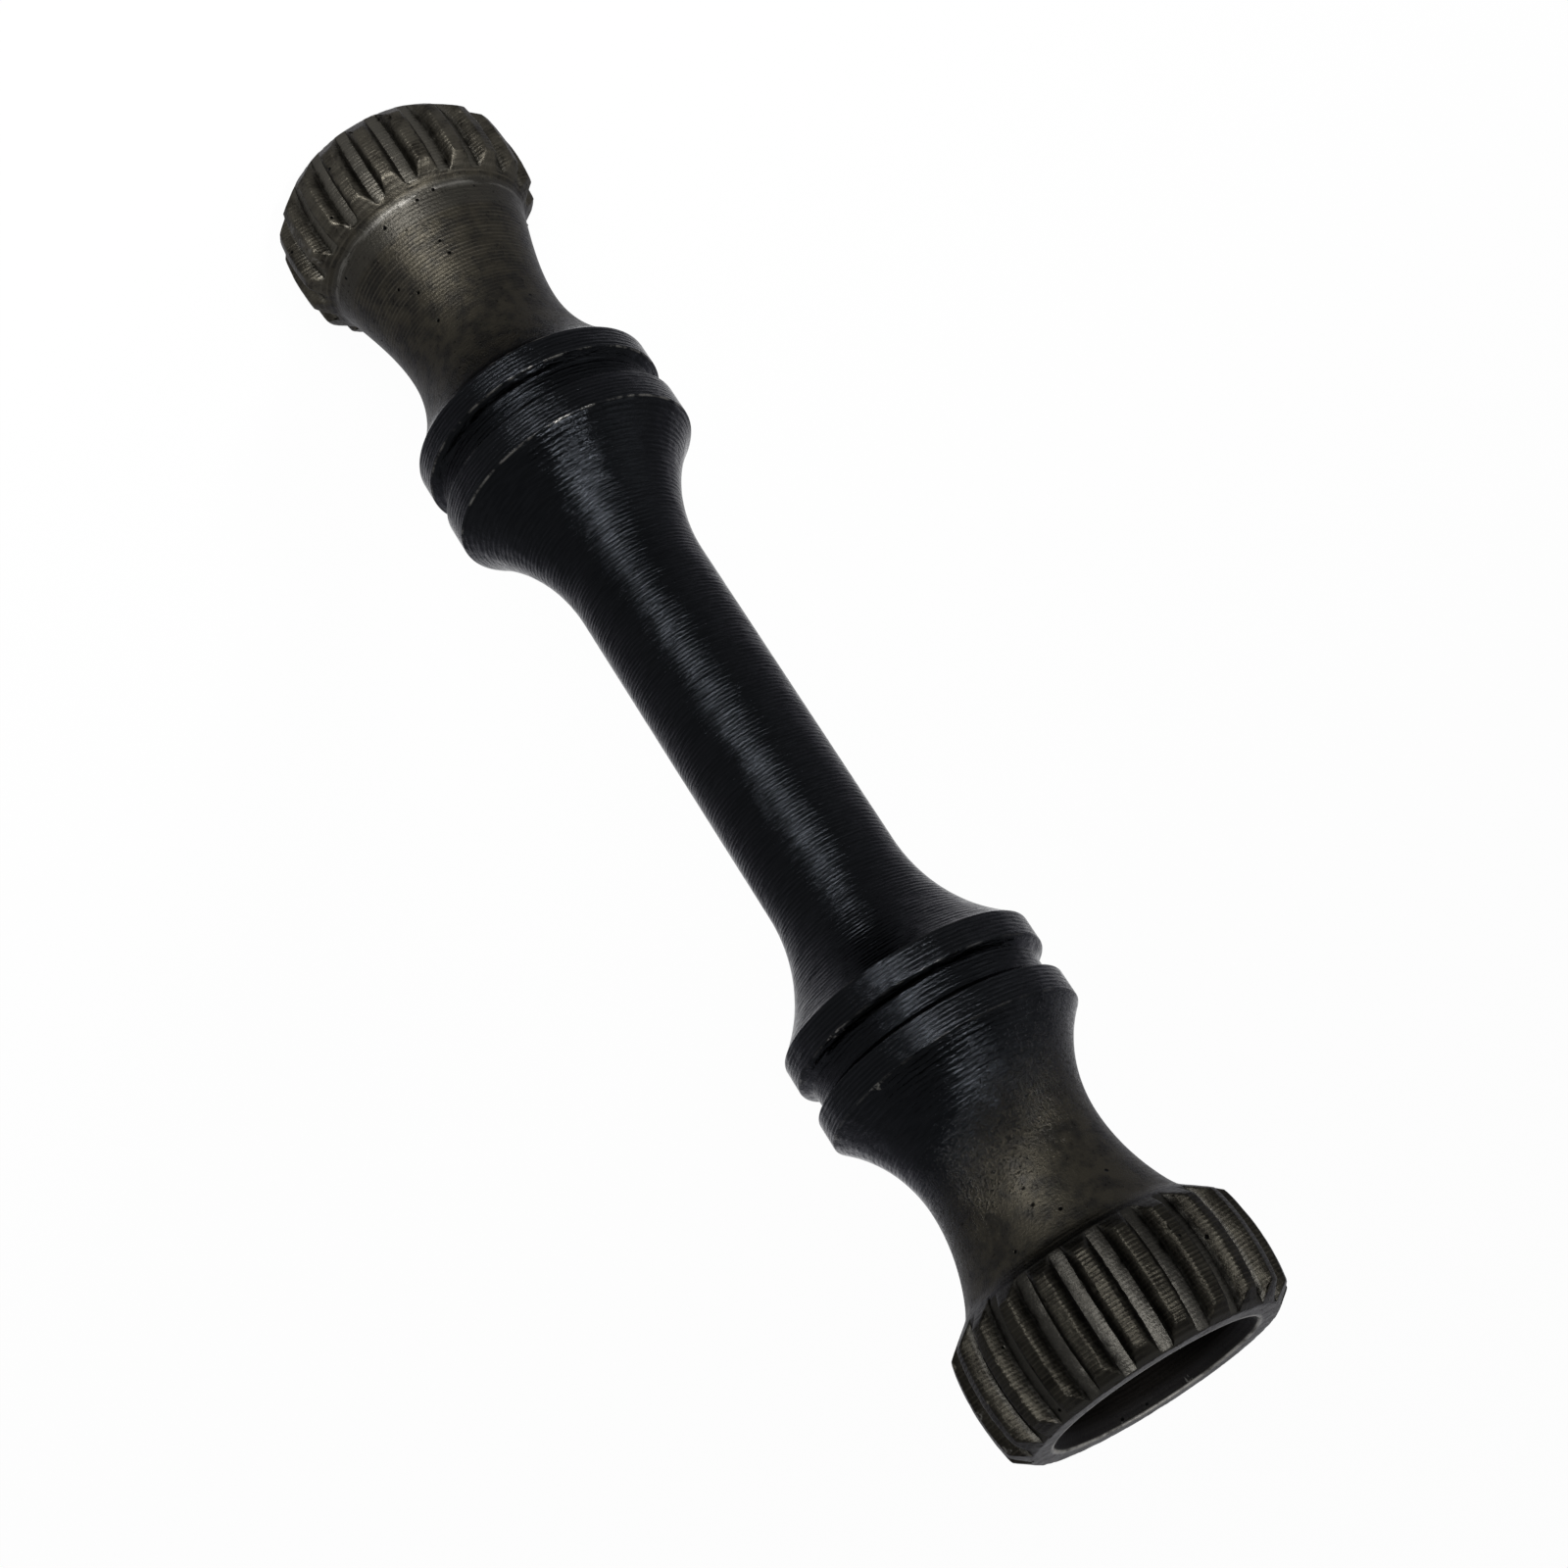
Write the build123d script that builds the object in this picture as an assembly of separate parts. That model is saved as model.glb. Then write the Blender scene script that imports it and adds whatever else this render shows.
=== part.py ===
from build123d import *
from dataclasses import dataclass
from math import acos, asin, cos, degrees, floor, pi, radians, sin, sqrt, tan
import os

# Splined drive link: one turned steel shaft with a crowned, toothed head at each end.
# Millimetres. +Z runs along the axis, from the small head up to the large head.
# The origin is the centre of the small head's end face, which the shaft stands on.
# One tooth space of each head is centred on +X.

overall_length = 148.3

# Teeth of both heads: an involute spline, with its crests and floors crowned along the axis.
module = 1.25
pressure_angle = 30.0
tooth_depth = 1.25
crown_radius = 22.0
# In modules: what a reference diameter holds over its pitch diameter with no profile shift,
# and how far the tip circle stays inside the reference circle.
reference_over_pitch = 1.1
tip_clearance = 0.1

# Small head. Distances along the axis are measured from its own end face.
small_reference_diameter = 27.0
small_crown_middle = 5.9
small_face_radius = 11.15
small_face_chamfer = 2.1
small_crest_end = 8.9
small_back_foot_radius = 11.05
small_seat_angle = 16.0

# Large head. Distances along the axis are measured from its own end face.
large_reference_diameter = 30.0
large_crown_middle = 5.9
large_face_radius = 12.65
large_face_chamfer = 1.3
large_crest_end = 10.8
large_back_foot_radius = 11.2
large_seat_angle = 28.0

# Back of both heads: the cone that the teeth run out on, and the round at its foot.
# The seat angle is the slope, to the axis, at which the waist meets that foot.
back_angle = 51.0
back_foot_round = 1.5

# Collars: two plain lands with a groove between them, placed from the end faces.
collar_radius = 13.05
groove_width = 3.45
groove_depth = 1.1
groove_wall_angle = 60.0
small_collar_place = 33.85
small_outer_land = 2.5
small_inner_land = 3.15
large_collar_place = 33.1
large_outer_land = 2.65
large_inner_land = 2.6
land_edge_round = 0.15

# Waists between heads and collars, and the thin stem in the middle.
small_waist_place = 23.2
small_waist_radius = 8.55
large_waist_place = 23.05
large_waist_radius = 8.7
stem_radius = 6.9
stem_blend = 18.2

# Blind pocket in the large head.
pocket_radius = 9.3
pocket_depth = 12.0
pocket_mouth_radius = 10.6
pocket_lead_in = 1.7
pocket_corner_round = 0.8


@dataclass(frozen=True)
class End:
    """One end of the shaft, from its end face to the middle of the stem."""

    reference_diameter: float
    crown_middle: float
    face_radius: float
    face_chamfer: float
    crest_end: float
    foot_radius: float
    seat_angle: float
    waist_place: float
    waist_radius: float
    collar_place: float
    outer_land: float
    inner_land: float

    @property
    def teeth(self):
        """Number of teeth: as many modules as the reference diameter has room for."""
        return floor(self.reference_diameter / module - reference_over_pitch)

    @property
    def tip_radius(self):
        return self.reference_diameter / 2 - tip_clearance * module

    @property
    def root_radius(self):
        return self.tip_radius - tooth_depth

    @property
    def crown_centre(self):
        """Radius at which the centre of the crest's and the floor's arcs lies."""
        return self.tip_radius - crown_radius

    @property
    def back_foot(self):
        """Point where the head's back cone meets the waist."""
        run = (self.crest_radius(self.crest_end) - self.foot_radius) / tan(radians(back_angle))
        return self.foot_radius, self.crest_end + run

    def crest_radius(self, z):
        return self.crown_centre + sqrt(crown_radius**2 - (z - self.crown_middle) ** 2)


def blend_length(radius, rise):
    """Axial length of an arc that starts parallel to the axis and climbs by rise."""
    return sqrt(radius**2 - (radius - rise) ** 2)


def blend_arc(foot, head):
    """Concave arc in the XZ plane from foot, where it lies along the axis, out to head."""
    rise = head[0] - foot[0]
    run = head[1] - foot[1]
    radius = (rise**2 + run**2) / (2 * rise)
    turn = asin(run / radius) / 2
    middle = (foot[0] + radius * (1 - cos(turn)), foot[1] + radius * sin(turn))
    return arc_through(foot, middle, head)


def line_between(start, end):
    return Line((start[0], 0, start[1]), (end[0], 0, end[1]))


def arc_through(start, middle, end):
    return ThreePointArc((start[0], 0, start[1]), (middle[0], 0, middle[1]), (end[0], 0, end[1]))


def waist_curve(foot, waist, slope):
    """Curve in the XZ plane that leaves the foot at a slope and runs out along the axis."""
    points = [(foot[0], 0, foot[1]), (waist[0], 0, waist[1])]
    return Spline(*points, tangents=[(-sin(slope), 0, cos(slope)), (0, 0, 1)])


def end_outline(end):
    """Outline of one end in the XZ plane, with its end face on z = 0 and its middle cut flat."""
    half = overall_length / 2
    crest_start = (end.crest_radius(end.face_chamfer), end.face_chamfer)
    crest_middle = (end.tip_radius, end.crown_middle)
    crest_end = (end.crest_radius(end.crest_end), end.crest_end)
    seat = radians(end.seat_angle)
    waist = (end.waist_radius, end.waist_place)

    floor_r = collar_radius - groove_depth
    wall_run = groove_depth / tan(radians(groove_wall_angle))
    groove_start = end.collar_place + end.outer_land
    groove_end = groove_start + groove_width
    collar_end = groove_end + end.inner_land
    stem_start = collar_end + blend_length(stem_blend, collar_radius - stem_radius)

    collar = [
        (collar_radius, end.collar_place),
        (collar_radius, groove_start),
        (floor_r, groove_start + wall_run),
        (floor_r, groove_end - wall_run),
        (collar_radius, groove_end),
        (collar_radius, collar_end),
    ]
    edges = [
        line_between((0, 0), (end.face_radius, 0)),
        line_between((end.face_radius, 0), crest_start),
        arc_through(crest_start, crest_middle, crest_end),
        line_between(crest_end, end.back_foot),
        waist_curve(end.back_foot, waist, seat),
        blend_arc(waist, collar[0]),
        *(line_between(a, b) for a, b in zip(collar, collar[1:])),
        blend_arc((stem_radius, stem_start), collar[-1]),
        line_between((stem_radius, stem_start), (stem_radius, half)),
        line_between((stem_radius, half), (0, half)),
        line_between((0, half), (0, 0)),
    ]
    outline = make_face(edges)
    outline = round_corners(outline, [end.back_foot], back_foot_round)
    return round_corners(outline, [collar[0], collar[1], collar[4], collar[5]], land_edge_round)


def round_corners(face, corners, radius):
    """Round the corners of a face in the XZ plane that lie at the given points."""
    chosen = []
    for r, z in corners:
        chosen.append(face.vertices().sort_by_distance((r, 0, z))[0])
    return fillet(chosen, radius)


def space_half_width(end, radius):
    """Half the width of a tooth space at a radius, from the involute of the spline."""
    pitch_radius = module * end.teeth / 2
    base_radius = pitch_radius * cos(radians(pressure_angle))
    shift = (end.reference_diameter - module * (end.teeth + reference_over_pitch)) / 2
    tooth_arc = module * pi / 2 + 2 * shift * tan(radians(pressure_angle))
    space_angle = pi / end.teeth - tooth_arc / (2 * pitch_radius)
    opening = involute(acos(base_radius / radius)) - involute(radians(pressure_angle))
    return radius * sin(space_angle + opening)


def involute(angle):
    return tan(angle) - angle


def space_cutter(end):
    """Cutter for the tooth space on +X: the space's section swung along the crown's arc."""
    outer = end.tip_radius + module
    middle = (end.root_radius + outer) / 2
    low, mid, high = ((r, space_half_width(end, r)) for r in (end.root_radius, middle, outer))
    edges = [
        Line((low[0], -low[1]), (low[0], low[1])),
        ThreePointArc((low[0], low[1]), (mid[0], mid[1]), (high[0], high[1])),
        Line((high[0], high[1]), (high[0], -high[1])),
        ThreePointArc((high[0], -high[1]), (mid[0], -mid[1]), (low[0], -low[1])),
    ]
    section = Pos(0, 0, end.crown_middle) * make_face(edges)
    reach = crown_radius - tooth_depth
    run_out = back_foot_round / 4
    to_face = degrees(asin((end.crown_middle + module) / reach))
    to_back = degrees(asin((end.back_foot[1] + run_out - end.crown_middle) / reach))
    swing = Axis((end.crown_centre, 0, end.crown_middle), (0, 1, 0))
    start = section.rotate(swing, to_face)
    return revolve(start, swing, -(to_face + to_back))


def build_end(end):
    """One end of the shaft, standing on its end face."""
    body = revolve(end_outline(end), Axis.Z)
    cutter = space_cutter(end)
    cutters = [Rot(0, 0, 360 * i / end.teeth) * cutter for i in range(end.teeth)]
    return body - cutters


def pocket_cutter():
    """Blind pocket with a conical lead-in, opening through z = 0 and running up from it."""
    edges = Polyline(
        (0, 0, 0),
        (pocket_mouth_radius, 0, 0),
        (pocket_radius, 0, pocket_lead_in),
        (pocket_radius, 0, pocket_depth),
        (0, 0, pocket_depth),
        close=True,
    )
    outline = make_face(edges)
    outline = round_corners(outline, [(pocket_radius, pocket_depth)], pocket_corner_round)
    return revolve(outline, Axis.Z)


small_end = End(
    reference_diameter=small_reference_diameter,
    crown_middle=small_crown_middle,
    face_radius=small_face_radius,
    face_chamfer=small_face_chamfer,
    crest_end=small_crest_end,
    foot_radius=small_back_foot_radius,
    seat_angle=small_seat_angle,
    waist_place=small_waist_place,
    waist_radius=small_waist_radius,
    collar_place=small_collar_place,
    outer_land=small_outer_land,
    inner_land=small_inner_land,
)
large_end = End(
    reference_diameter=large_reference_diameter,
    crown_middle=large_crown_middle,
    face_radius=large_face_radius,
    face_chamfer=large_face_chamfer,
    crest_end=large_crest_end,
    foot_radius=large_back_foot_radius,
    seat_angle=large_seat_angle,
    waist_place=large_waist_place,
    waist_radius=large_waist_radius,
    collar_place=large_collar_place,
    outer_land=large_outer_land,
    inner_land=large_inner_land,
)

turned_over = Pos(0, 0, overall_length) * Rot(180, 0, 0)
shaft = build_end(small_end) + turned_over * (build_end(large_end) - pocket_cutter())

os.makedirs("parts", exist_ok=True)
export_step(shaft, "parts/splined_shaft.step")
print("volume mm3", round(shaft.volume, 1), "solids", len(shaft.solids()))
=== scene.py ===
"""Looks of a splined drive link: its worn steel, the floor, the light and the camera."""

import logging
import math
from dataclasses import dataclass
from enum import Enum
from typing import Any, Callable

import bpy
from mathutils import Matrix, Vector, noise

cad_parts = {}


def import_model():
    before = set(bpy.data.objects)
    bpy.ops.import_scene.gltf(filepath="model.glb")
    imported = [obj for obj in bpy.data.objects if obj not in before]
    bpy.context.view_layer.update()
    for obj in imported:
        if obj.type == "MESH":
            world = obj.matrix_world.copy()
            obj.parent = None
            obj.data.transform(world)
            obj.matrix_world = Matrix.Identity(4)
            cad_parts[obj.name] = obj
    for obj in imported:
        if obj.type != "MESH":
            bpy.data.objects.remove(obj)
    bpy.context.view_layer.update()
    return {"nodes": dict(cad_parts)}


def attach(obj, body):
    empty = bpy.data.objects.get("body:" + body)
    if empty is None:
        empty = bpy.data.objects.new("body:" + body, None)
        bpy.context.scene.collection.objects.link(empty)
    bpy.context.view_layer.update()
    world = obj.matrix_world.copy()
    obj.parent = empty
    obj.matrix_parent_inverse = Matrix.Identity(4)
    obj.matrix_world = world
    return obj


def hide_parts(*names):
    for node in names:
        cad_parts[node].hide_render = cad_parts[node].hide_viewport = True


LOG = logging.getLogger("splined_shaft")
NODE = "splined_shaft"
BODY = "root"
MM = 0.001

Point = tuple[float, float]


# ---------------------------------------------------------------- modelling bench


class Bench:
    """Everyday modelling moves, each made of Blender's own operators."""

    @staticmethod
    def clear_selection() -> None:
        """Leave edit mode and deselect every object."""
        if bpy.context.object and bpy.context.object.mode != "OBJECT":
            bpy.ops.object.mode_set(mode="OBJECT")
        bpy.ops.object.select_all(action="DESELECT")

    @staticmethod
    def pick(obj: bpy.types.Object, *others: bpy.types.Object) -> None:
        """Make obj active and select it, with any others.

        Args:
            obj: The object to make active.
            others: Objects to select along with it.
        """
        Bench.clear_selection()
        for each in (obj, *others):
            each.select_set(True)
        bpy.context.view_layer.objects.active = obj

    @staticmethod
    def edit(obj: bpy.types.Object, mode: str = "VERT") -> None:
        """Open obj in edit mode with nothing selected.

        Args:
            obj: The object to open.
            mode: VERT, EDGE or FACE.
        """
        Bench.pick(obj)
        bpy.ops.object.mode_set(mode="EDIT")
        bpy.ops.mesh.select_mode(type=mode)
        bpy.ops.mesh.select_all(action="DESELECT")

    @staticmethod
    def done() -> None:
        """Leave edit mode."""
        bpy.ops.object.mode_set(mode="OBJECT")

    @staticmethod
    def polyline(name: str, points: list[Point]) -> bpy.types.Object:
        """Draw a polyline in the XZ plane by extruding one vertex from point to point.

        Args:
            name: Name of the new object.
            points: Radius and height of each point, in millimetres.

        Returns:
            The new object, a chain of edges.
        """
        Bench.clear_selection()
        bpy.ops.mesh.primitive_plane_add(size=1)
        obj = bpy.context.object
        obj.name = name
        Bench.edit(obj)
        bpy.ops.mesh.select_all(action="SELECT")
        bpy.ops.mesh.merge(type="CENTER")
        bpy.ops.transform.translate(value=(points[0][0], 0, points[0][1]))
        for start, end in zip(points, points[1:]):
            step = (end[0] - start[0], 0, end[1] - start[1])
            bpy.ops.mesh.extrude_region_move(TRANSFORM_OT_translate={"value": step})
        Bench.done()
        return obj

    @staticmethod
    def spin(obj: bpy.types.Object, steps: int) -> None:
        """Turn a chain of edges about the Z axis into a closed surface.

        Args:
            obj: The chain.
            steps: Number of faces round the axis.
        """
        Bench.edit(obj)
        bpy.ops.mesh.select_all(action="SELECT")
        bpy.ops.mesh.spin(steps=steps, angle=2 * math.pi, center=(0, 0, 0), axis=(0, 0, 1))
        bpy.ops.mesh.select_all(action="SELECT")
        bpy.ops.mesh.remove_doubles(threshold=0.0005)
        Bench.done()

    @staticmethod
    def spin_copies(obj: bpy.types.Object, copies: int) -> None:
        """Repeat a sector of a ring about the Z axis and merge the copies.

        Args:
            obj: One sector.
            copies: Number of sectors in the whole ring.
        """
        Bench.edit(obj)
        bpy.ops.mesh.select_all(action="SELECT")
        turn = 2 * math.pi * (copies - 1) / copies
        bpy.ops.mesh.spin(
            steps=copies - 1, dupli=True, angle=turn, center=(0, 0, 0), axis=(0, 0, 1)
        )
        bpy.ops.mesh.select_all(action="SELECT")
        bpy.ops.mesh.remove_doubles(threshold=0.002)
        Bench.done()

    @staticmethod
    def select_vertices(obj: bpy.types.Object, test: Callable[[Vector], bool]) -> None:
        """Select the vertices of an object that pass a test, and open it in edit mode.

        Args:
            obj: The object.
            test: Says whether a place, in millimetres, is wanted.
        """
        Bench.edit(obj)
        Bench.done()
        for vertex in obj.data.vertices:
            vertex.select = test(vertex.co)
        bpy.ops.object.mode_set(mode="EDIT")

    @staticmethod
    def join(obj: bpy.types.Object, *others: bpy.types.Object) -> None:
        """Join the others into obj."""
        Bench.pick(obj, *others)
        bpy.ops.object.join()


# ---------------------------------------------------------------- outline of the shaft


def rounded(before: Point, corner: Point, after: Point, radius: float, steps: int) -> list[Point]:
    """Round one corner of an outline.

    Args:
        before: A point on the run into the corner.
        corner: The corner.
        after: A point on the run out of it.
        radius: Radius of the round.
        steps: Number of runs in it.

    Returns:
        Points of the round, from its start to its end.
    """
    into = (Vector(corner) - Vector(before)).normalized()
    out = (Vector(after) - Vector(corner)).normalized()
    turn = into.angle(out)
    cut = radius * math.tan(turn / 2)
    start = Vector(corner) - into * cut
    end = Vector(corner) + out * cut
    points = []
    for i in range(steps + 1):
        t = i / steps
        across = start.lerp(Vector(corner), t)
        along = Vector(corner).lerp(end, t)
        points.append(tuple(across.lerp(along, t)))
    return points


def run(start: Point, end: Point, steps: int) -> list[Point]:
    """Points along a straight run, without its two ends."""
    a, b = Vector(start), Vector(end)
    return [tuple(a.lerp(b, i / steps)) for i in range(1, steps)]


@dataclass(frozen=True)
class Steel:
    """Sizes that both ends of the shaft share, in millimetres and degrees."""

    length: float = 148.3
    module: float = 1.25
    pressure_angle: float = 30.0
    tooth_depth: float = 1.25
    crown_radius: float = 22.0
    over_pitch: float = 1.1
    tip_clearance: float = 0.1
    back_angle: float = 51.0
    collar_radius: float = 13.05
    groove_width: float = 3.45
    groove_depth: float = 1.1
    groove_wall_angle: float = 60.0
    land_round: float = 0.22
    stem_radius: float = 6.9
    stem_blend: float = 18.2
    pocket_radius: float = 9.3
    pocket_depth: float = 12.0
    mouth_radius: float = 10.6
    lead_in: float = 1.7
    pocket_corner: float = 0.8


@dataclass(frozen=True)
class End:
    """Sizes of one end of the shaft. Heights are measured from its own end face."""

    reference_diameter: float
    crown_middle: float
    face_radius: float
    face_chamfer: float
    crest_end: float
    foot_radius: float
    seat_angle: float
    waist_place: float
    waist_radius: float
    collar_place: float
    outer_land: float
    inner_land: float
    steel: Steel = Steel()

    @property
    def teeth(self) -> int:
        """Number of teeth."""
        return math.floor(self.reference_diameter / self.steel.module - self.steel.over_pitch)

    @property
    def tip_radius(self) -> float:
        """Radius over the crests at the middle of the crown."""
        return self.reference_diameter / 2 - self.steel.tip_clearance * self.steel.module

    @property
    def root_radius(self) -> float:
        """Radius of the tooth spaces' floors at the middle of the crown."""
        return self.tip_radius - self.steel.tooth_depth

    @property
    def crown_centre(self) -> float:
        """Radius of the centre that the crests' and floors' arcs share."""
        return self.tip_radius - self.steel.crown_radius

    def crest_radius(self, z: float) -> float:
        """Radius over the crests at a height."""
        reach = math.sqrt(self.steel.crown_radius**2 - (z - self.crown_middle) ** 2)
        return self.crown_centre + reach

    @property
    def foot(self) -> Point:
        """Radius and height of the corner where the back cone meets the waist."""
        drop = self.crest_radius(self.crest_end) - self.foot_radius
        run_out = drop / math.tan(math.radians(self.steel.back_angle))
        return self.foot_radius, self.crest_end + run_out

    def chamfer_radius(self, z: float) -> float:
        """Radius of the cone that chamfers the end face, at a height."""
        rise = (self.crest_radius(self.face_chamfer) - self.face_radius) / self.face_chamfer
        return self.face_radius + rise * z

    def back_radius(self, z: float) -> float:
        """Radius of the cone behind the teeth, at a height."""
        fall = math.tan(math.radians(self.steel.back_angle))
        return self.crest_radius(self.crest_end) - (z - self.crest_end) * fall

    def space_half_width(self, radius: float) -> float:
        """Half the width of a tooth space at a radius.

        Args:
            radius: Distance from the axis, in millimetres.

        Returns:
            The half width that the involute flanks leave there.
        """
        steel = self.steel
        pitch = steel.module * self.teeth / 2
        pressure = math.radians(steel.pressure_angle)
        base = pitch * math.cos(pressure)
        shift = (self.reference_diameter - steel.module * (self.teeth + steel.over_pitch)) / 2
        tooth = steel.module * math.pi / 2 + 2 * shift * math.tan(pressure)
        half_space = math.pi / self.teeth - tooth / (2 * pitch)
        angle = math.acos(base / radius)
        opening = (math.tan(angle) - angle) - (math.tan(pressure) - pressure)
        return radius * math.sin(half_space + opening)

    def waist_points(self, steps: int) -> list[Point]:
        """Curve from the back foot, where it lies at the seat angle, to the waist."""
        slope = math.radians(self.seat_angle)
        start, end = Vector(self.foot), Vector((self.waist_radius, self.waist_place))
        pull = (end - start).length
        leave = Vector((-math.sin(slope), math.cos(slope))) * pull
        arrive = Vector((0, 1)) * pull
        points = []
        for i in range(steps + 1):
            t = i / steps
            place = start * (2 * t**3 - 3 * t**2 + 1) + leave * (t**3 - 2 * t**2 + t)
            place += end * (3 * t**2 - 2 * t**3) + arrive * (t**3 - t**2)
            points.append(tuple(place))
        return points


def concave(foot: Point, head: Point, steps: int) -> list[Point]:
    """Arc that leaves foot along the axis and climbs out to head.

    Args:
        foot: Its low end, where it runs along the axis.
        head: Its high end, on either side of foot along the axis.
        steps: Number of runs.

    Returns:
        Points from foot to head.
    """
    rise, way = head[0] - foot[0], head[1] - foot[1]
    radius = (rise**2 + way**2) / (2 * rise)
    turn = math.asin(way / radius)
    points = []
    for i in range(steps + 1):
        angle = turn * i / steps
        out, along = radius * (1 - math.cos(angle)), radius * math.sin(angle)
        points.append((foot[0] + out, foot[1] + along))
    return points


# ---------------------------------------------------------------- toothed heads


class Head:
    """One toothed head, modelled with its end face on z = 0 and its teeth above it.

    Half a tooth pitch is so many runs of floor, flank and crest. Along the axis it has rows for
    the chamfer in front, for the crown, and for the cone at the back.
    """

    FLOOR_RUNS = 2
    FLANK_RUNS = 4
    CREST_RUNS = 4
    FRONT_ROWS = 6
    CROWN_ROWS = 34
    BACK_ROWS = 6
    HALVINGS = 40

    def __init__(self, name: str, end: End) -> None:
        """Keep the head's name and sizes."""
        self.name = name
        self.end = end

    def flank_share(self, u: float) -> float:
        """How far up the flank a column lies, from 0 on the floor to 1 on the crest."""
        return min(max((u - self.FLOOR_RUNS) / self.FLANK_RUNS, 0.0), 1.0)

    def column(self, u: float, t: float) -> tuple[float, float]:
        """Height and angle of a column of the tooth pitch, somewhere along the crown.

        Args:
            u: Column, from 0 in the middle of a space to the crest's middle at the last run.
            t: Share of the way from the chamfer to the back cone.

        Returns:
            Height and angle about the axis.
        """
        end = self.end
        reach = end.crown_centre
        rise = self.flank_share(u)
        edge = math.sqrt(end.tip_radius**2 - end.space_half_width(end.tip_radius) ** 2)
        x = end.root_radius + (edge - end.root_radius) * rise
        y = end.space_half_width(x) * min(u / self.FLOOR_RUNS, 1.0)
        start = self.swing_to(x, y, end.chamfer_radius, -1)
        stop = self.swing_to(x, y, end.back_radius, 1)
        swing = start + (stop - start) * t
        z = end.crown_middle + (x - reach) * math.sin(swing)
        angle = math.atan2(y, reach + (x - reach) * math.cos(swing))
        crest = max(u - self.FLOOR_RUNS - self.FLANK_RUNS, 0.0) / self.CREST_RUNS
        return z, angle + (math.pi / end.teeth - angle) * crest

    def swing_to(self, x: float, y: float, cone: Callable[[float], float], way: int) -> float:
        """Swing at which a point of the tooth section meets a cone.

        Args:
            x: The point's distance out, at the middle of the crown.
            y: Its distance to the side.
            cone: Gives the cone's radius at a height.
            way: -1 towards the end face, 1 towards the back.

        Returns:
            The swing, in radians.
        """
        end = self.end
        low, high = 0.0, math.asin((end.foot[1] - end.crown_middle) / (x - end.crown_centre))
        if way < 0:
            high = math.asin(end.crown_middle / (x - end.crown_centre))
        for _ in range(self.HALVINGS):
            middle = (low + high) / 2
            reach = x - end.crown_centre
            z = end.crown_middle + way * reach * math.sin(middle)
            radius = math.hypot(end.crown_centre + reach * math.cos(middle), y)
            if radius < cone(z):
                low = middle
            else:
                high = middle
        return way * (low + high) / 2

    def place(self, u: float, row: int) -> Vector:
        """Place of a vertex of the sector.

        Args:
            u: Column, negative on one side of the space.
            row: Row, from the end face to the foot of the back cone.

        Returns:
            Its place.
        """
        end = self.end
        side = math.copysign(1.0, u)
        crown = min(max((row - self.FRONT_ROWS) / self.CROWN_ROWS, 0.0), 1.0)
        z, angle = self.column(abs(u), crown)
        reach = end.crown_centre
        rise = self.flank_share(abs(u))
        if row < self.FRONT_ROWS:
            z *= row / self.FRONT_ROWS
            radius = end.chamfer_radius(z)
        elif row > self.FRONT_ROWS + self.CROWN_ROWS:
            share = (row - self.FRONT_ROWS - self.CROWN_ROWS) / self.BACK_ROWS
            z += (end.foot[1] - z) * share
            radius = end.back_radius(z)
        else:
            section = end.root_radius + rise * (end.tip_radius - end.root_radius)
            swing = math.asin((z - end.crown_middle) / (section - reach))
            radius = reach + (section - reach) * math.cos(swing)
            if abs(u) <= self.FLOOR_RUNS:
                radius /= math.cos(angle)
            if rise < 1.0:
                radius = min(radius, end.crest_radius(z))
        return Vector((radius * math.cos(angle), side * radius * math.sin(angle), z))

    def build(self) -> bpy.types.Object:
        """Model one tooth pitch on a grid and repeat it round the axis.

        Returns:
            The ring of teeth, open at both ends.
        """
        half = self.FLOOR_RUNS + self.FLANK_RUNS + self.CREST_RUNS
        rows = self.FRONT_ROWS + self.CROWN_ROWS + self.BACK_ROWS
        Bench.clear_selection()
        bpy.ops.mesh.primitive_grid_add(x_subdivisions=2 * half, y_subdivisions=rows, size=2)
        ring = bpy.context.object
        ring.name = self.name
        for vertex in ring.data.vertices:
            column = round((vertex.co.x + 1) * half) - half
            row = round((vertex.co.y + 1) / 2 * rows)
            vertex.co = self.place(column, row)
        Bench.spin_copies(ring, self.end.teeth)
        return ring


# ---------------------------------------------------------------- the whole shaft


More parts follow.
